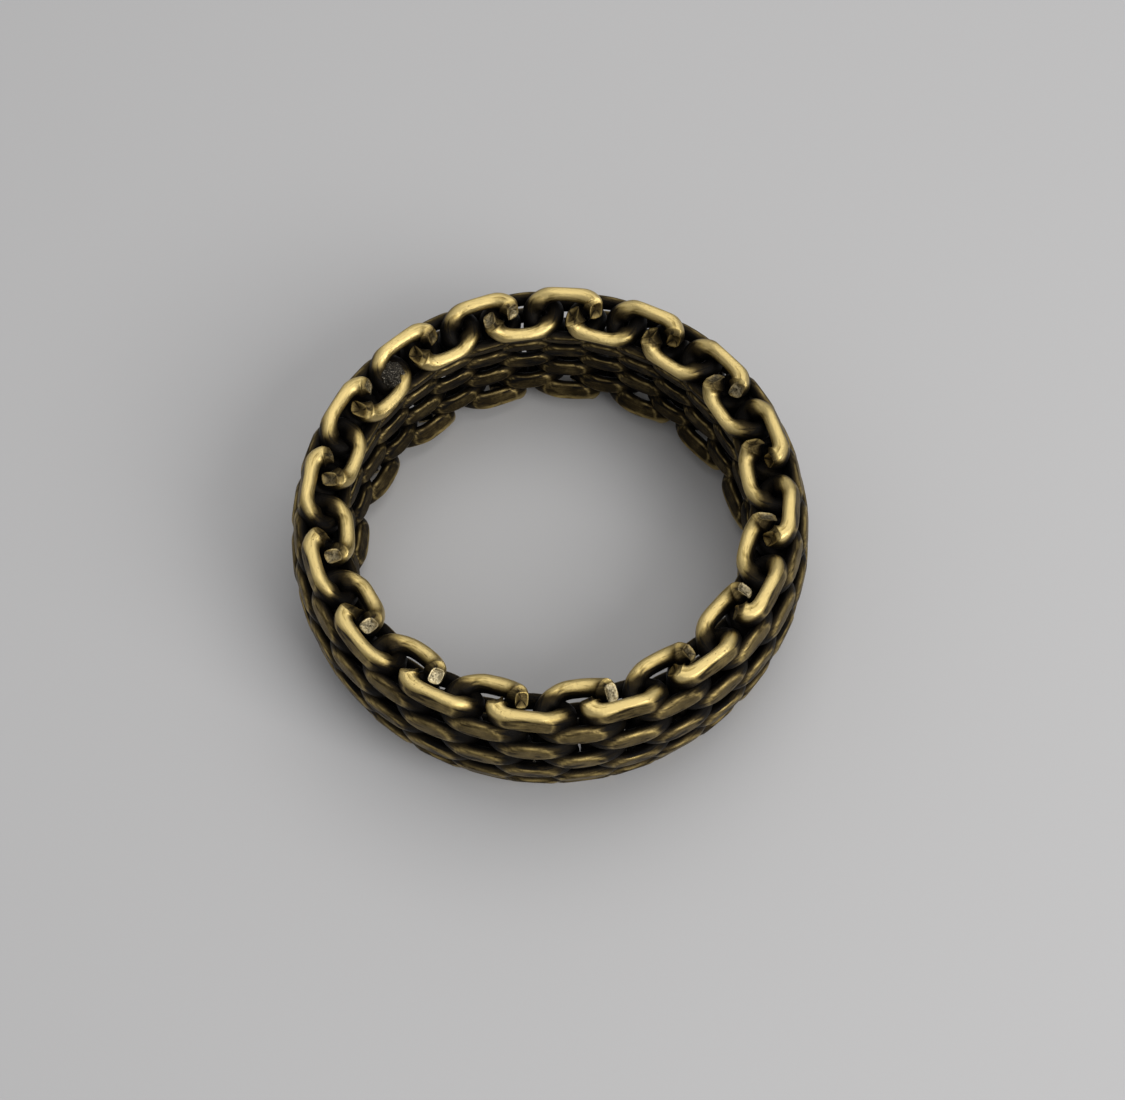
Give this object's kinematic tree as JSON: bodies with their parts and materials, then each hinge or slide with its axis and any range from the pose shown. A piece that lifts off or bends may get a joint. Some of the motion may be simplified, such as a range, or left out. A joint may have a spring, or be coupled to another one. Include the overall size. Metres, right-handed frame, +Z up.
{
  "type": "woven mesh ring",
  "caption": "Domed band ring woven from upright interlocked flat coils of round wire, soldered into a hoop at one interlock and free to flex at all the others.",
  "frame": {"origin": "centre of the ring's base, on the axis of the finger hole, with the ring lying on its edge", "axes": "+Z up along the finger hole's axis; the soldered interlock is at 130.9 degrees anticlockwise from +X seen from above"},
  "size_m": [0.0258, 0.0258, 0.008],
  "materials": {
    "brass_wire": "antiqued brass: warm and rubbed bright on the raised strands, almost black in the recesses",
    "solder": "dark grainy solder with burnt flux"
  },
  "bodies": {
    "seam": {"coil_01": "brass_wire", "coil_32": "brass_wire", "seam_solder": "solder"},
    "coil_02": {"coil_02": "brass_wire"},
    "coil_03": {"coil_03": "brass_wire"},
    "coil_04": {"coil_04": "brass_wire"},
    "coil_05": {"coil_05": "brass_wire"},
    "coil_06": {"coil_06": "brass_wire"},
    "coil_07": {"coil_07": "brass_wire"},
    "coil_08": {"coil_08": "brass_wire"},
    "coil_09": {"coil_09": "brass_wire"},
    "coil_10": {"coil_10": "brass_wire"},
    "coil_11": {"coil_11": "brass_wire"},
    "coil_12": {"coil_12": "brass_wire"},
    "coil_13": {"coil_13": "brass_wire"},
    "coil_14": {"coil_14": "brass_wire"},
    "coil_15": {"coil_15": "brass_wire"},
    "coil_16": {"coil_16": "brass_wire"},
    "coil_17": {"coil_17": "brass_wire"},
    "coil_18": {"coil_18": "brass_wire"},
    "coil_19": {"coil_19": "brass_wire"},
    "coil_20": {"coil_20": "brass_wire"},
    "coil_21": {"coil_21": "brass_wire"},
    "coil_22": {"coil_22": "brass_wire"},
    "coil_23": {"coil_23": "brass_wire"},
    "coil_24": {"coil_24": "brass_wire"},
    "coil_25": {"coil_25": "brass_wire"},
    "coil_26": {"coil_26": "brass_wire"},
    "coil_27": {"coil_27": "brass_wire"},
    "coil_28": {"coil_28": "brass_wire"},
    "coil_29": {"coil_29": "brass_wire"},
    "coil_30": {"coil_30": "brass_wire"},
    "coil_31": {"coil_31": "brass_wire"}
  },
  "joints": [
    {"name": "interlock_01_02", "type": "hinge", "parent": "seam", "child": "coil_02", "pos_m": [-0.00572, 0.01005, 0.004], "axis": [0, 0, -1], "range_deg": [-9, 9]},
    {"name": "interlock_02_03", "type": "hinge", "parent": "coil_02", "child": "coil_03", "pos_m": [-0.00365, 0.01097, 0.004], "axis": [0, 0, -1], "range_deg": [-7.08, 7.08]},
    {"name": "interlock_03_04", "type": "hinge", "parent": "coil_03", "child": "coil_04", "pos_m": [-0.00144, 0.01147, 0.004], "axis": [0, 0, -1], "range_deg": [-4.18, 4.18]},
    {"name": "interlock_04_05", "type": "hinge", "parent": "coil_04", "child": "coil_05", "pos_m": [0.00083, 0.01153, 0.004], "axis": [0, 0, -1], "range_deg": [-0.75, 0.75]},
    {"name": "interlock_05_06", "type": "hinge", "parent": "coil_05", "child": "coil_06", "pos_m": [0.00306, 0.01115, 0.004], "axis": [0, 0, -1], "range_deg": [-2.73, 2.73]},
    {"name": "interlock_06_07", "type": "hinge", "parent": "coil_06", "child": "coil_07", "pos_m": [0.00518, 0.01034, 0.004], "axis": [0, 0, -1], "range_deg": [-5.68, 5.68]},
    {"name": "interlock_07_08", "type": "hinge", "parent": "coil_07", "child": "coil_08", "pos_m": [0.00709, 0.00913, 0.004], "axis": [0, 0, -1], "range_deg": [-7.7, 7.7]},
    {"name": "interlock_08_09", "type": "hinge", "parent": "coil_08", "child": "coil_09", "pos_m": [0.00874, 0.00757, 0.004], "axis": [0, 0, -1], "range_deg": [-8.48, 8.48]},
    {"name": "interlock_09_10", "type": "hinge", "parent": "coil_09", "child": "coil_10", "pos_m": [0.01005, 0.00572, 0.004], "axis": [0, 0, -1], "range_deg": [-7.93, 7.93]},
    {"name": "interlock_10_11", "type": "hinge", "parent": "coil_10", "child": "coil_11", "pos_m": [0.01097, 0.00365, 0.004], "axis": [0, 0, -1], "range_deg": [-6.15, 6.15]},
    {"name": "interlock_11_12", "type": "hinge", "parent": "coil_11", "child": "coil_12", "pos_m": [0.01147, 0.00144, 0.004], "axis": [0, 0, -1], "range_deg": [-3.41, 3.41]},
    {"name": "interlock_12_13", "type": "hinge", "parent": "coil_12", "child": "coil_13", "pos_m": [0.01153, -0.00083, 0.004], "axis": [0, 0, -1], "range_deg": [-0.14, 0.14]},
    {"name": "interlock_13_14", "type": "hinge", "parent": "coil_13", "child": "coil_14", "pos_m": [0.01115, -0.00306, 0.004], "axis": [0, 0, -1], "range_deg": [-3.17, 3.17]},
    {"name": "interlock_14_15", "type": "hinge", "parent": "coil_14", "child": "coil_15", "pos_m": [0.01034, -0.00518, 0.004], "axis": [0, 0, -1], "range_deg": [-5.96, 5.96]},
    {"name": "interlock_15_16", "type": "hinge", "parent": "coil_15", "child": "coil_16", "pos_m": [0.00913, -0.00709, 0.004], "axis": [0, 0, -1], "range_deg": [-7.83, 7.83]},
    {"name": "interlock_31_32", "type": "hinge", "parent": "seam", "child": "coil_31", "pos_m": [-0.00913, 0.00709, 0.004], "axis": [0, 0, -1], "range_deg": [-9.01, 9.01]},
    {"name": "interlock_30_31", "type": "hinge", "parent": "coil_31", "child": "coil_30", "pos_m": [-0.01034, 0.00518, 0.004], "axis": [0, 0, -1], "range_deg": [-7.08, 7.08]},
    {"name": "interlock_29_30", "type": "hinge", "parent": "coil_30", "child": "coil_29", "pos_m": [-0.01115, 0.00306, 0.004], "axis": [0, 0, -1], "range_deg": [-4.18, 4.18]},
    {"name": "interlock_28_29", "type": "hinge", "parent": "coil_29", "child": "coil_28", "pos_m": [-0.01153, 0.00083, 0.004], "axis": [0, 0, -1], "range_deg": [-0.75, 0.75]},
    {"name": "interlock_27_28", "type": "hinge", "parent": "coil_28", "child": "coil_27", "pos_m": [-0.01147, -0.00144, 0.004], "axis": [0, 0, -1], "range_deg": [-2.73, 2.73]},
    {"name": "interlock_26_27", "type": "hinge", "parent": "coil_27", "child": "coil_26", "pos_m": [-0.01097, -0.00365, 0.004], "axis": [0, 0, -1], "range_deg": [-5.68, 5.68]},
    {"name": "interlock_25_26", "type": "hinge", "parent": "coil_26", "child": "coil_25", "pos_m": [-0.01005, -0.00572, 0.004], "axis": [0, 0, -1], "range_deg": [-7.7, 7.7]},
    {"name": "interlock_24_25", "type": "hinge", "parent": "coil_25", "child": "coil_24", "pos_m": [-0.00874, -0.00757, 0.004], "axis": [0, 0, -1], "range_deg": [-8.48, 8.48]},
    {"name": "interlock_23_24", "type": "hinge", "parent": "coil_24", "child": "coil_23", "pos_m": [-0.00709, -0.00913, 0.004], "axis": [0, 0, -1], "range_deg": [-7.93, 7.93]},
    {"name": "interlock_22_23", "type": "hinge", "parent": "coil_23", "child": "coil_22", "pos_m": [-0.00518, -0.01034, 0.004], "axis": [0, 0, -1], "range_deg": [-6.15, 6.15]},
    {"name": "interlock_21_22", "type": "hinge", "parent": "coil_22", "child": "coil_21", "pos_m": [-0.00306, -0.01115, 0.004], "axis": [0, 0, -1], "range_deg": [-3.41, 3.41]},
    {"name": "interlock_20_21", "type": "hinge", "parent": "coil_21", "child": "coil_20", "pos_m": [-0.00083, -0.01153, 0.004], "axis": [0, 0, -1], "range_deg": [-0.14, 0.14]},
    {"name": "interlock_19_20", "type": "hinge", "parent": "coil_20", "child": "coil_19", "pos_m": [0.00144, -0.01147, 0.004], "axis": [0, 0, -1], "range_deg": [-3.17, 3.17]},
    {"name": "interlock_18_19", "type": "hinge", "parent": "coil_19", "child": "coil_18", "pos_m": [0.00365, -0.01097, 0.004], "axis": [0, 0, -1], "range_deg": [-5.96, 5.96]},
    {"name": "interlock_17_18", "type": "hinge", "parent": "coil_18", "child": "coil_17", "pos_m": [0.00572, -0.01005, 0.004], "axis": [0, 0, -1], "range_deg": [-7.83, 7.83]}
  ],
  "couplings": [
    {"joint": "interlock_02_03", "follows": "interlock_01_02", "ratio": 0.7849},
    {"joint": "interlock_03_04", "follows": "interlock_01_02", "ratio": 0.46248},
    {"joint": "interlock_04_05", "follows": "interlock_01_02", "ratio": 0.08114},
    {"joint": "interlock_05_06", "follows": "interlock_01_02", "ratio": -0.30203},
    {"joint": "interlock_06_07", "follows": "interlock_01_02", "ratio": -0.62985},
    {"joint": "interlock_07_08", "follows": "interlock_01_02", "ratio": -0.85374},
    {"joint": "interlock_08_09", "follows": "interlock_01_02", "ratio": -0.94105},
    {"joint": "interlock_09_10", "follows": "interlock_01_02", "ratio": -0.87997},
    {"joint": "interlock_10_11", "follows": "interlock_01_02", "ratio": -0.6813},
    {"joint": "interlock_11_12", "follows": "interlock_01_02", "ratio": -0.37672},
    {"joint": "interlock_12_13", "follows": "interlock_01_02", "ratio": -0.01392},
    {"joint": "interlock_13_14", "follows": "interlock_01_02", "ratio": 0.3507},
    {"joint": "interlock_14_15", "follows": "interlock_01_02", "ratio": 0.66069},
    {"joint": "interlock_15_16", "follows": "interlock_01_02", "ratio": 0.86815},
    {"joint": "interlock_31_32", "follows": "interlock_01_02", "ratio": -1},
    {"joint": "interlock_30_31", "follows": "interlock_01_02", "ratio": -0.7849},
    {"joint": "interlock_29_30", "follows": "interlock_01_02", "ratio": -0.46248},
    {"joint": "interlock_28_29", "follows": "interlock_01_02", "ratio": -0.08114},
    {"joint": "interlock_27_28", "follows": "interlock_01_02", "ratio": 0.30203},
    {"joint": "interlock_26_27", "follows": "interlock_01_02", "ratio": 0.62985},
    {"joint": "interlock_25_26", "follows": "interlock_01_02", "ratio": 0.85374},
    {"joint": "interlock_24_25", "follows": "interlock_01_02", "ratio": 0.94105},
    {"joint": "interlock_23_24", "follows": "interlock_01_02", "ratio": 0.87997},
    {"joint": "interlock_22_23", "follows": "interlock_01_02", "ratio": 0.6813},
    {"joint": "interlock_21_22", "follows": "interlock_01_02", "ratio": 0.37672},
    {"joint": "interlock_20_21", "follows": "interlock_01_02", "ratio": 0.01392},
    {"joint": "interlock_19_20", "follows": "interlock_01_02", "ratio": -0.3507},
    {"joint": "interlock_18_19", "follows": "interlock_01_02", "ratio": -0.66069},
    {"joint": "interlock_17_18", "follows": "interlock_01_02", "ratio": -0.86815}
  ]
}
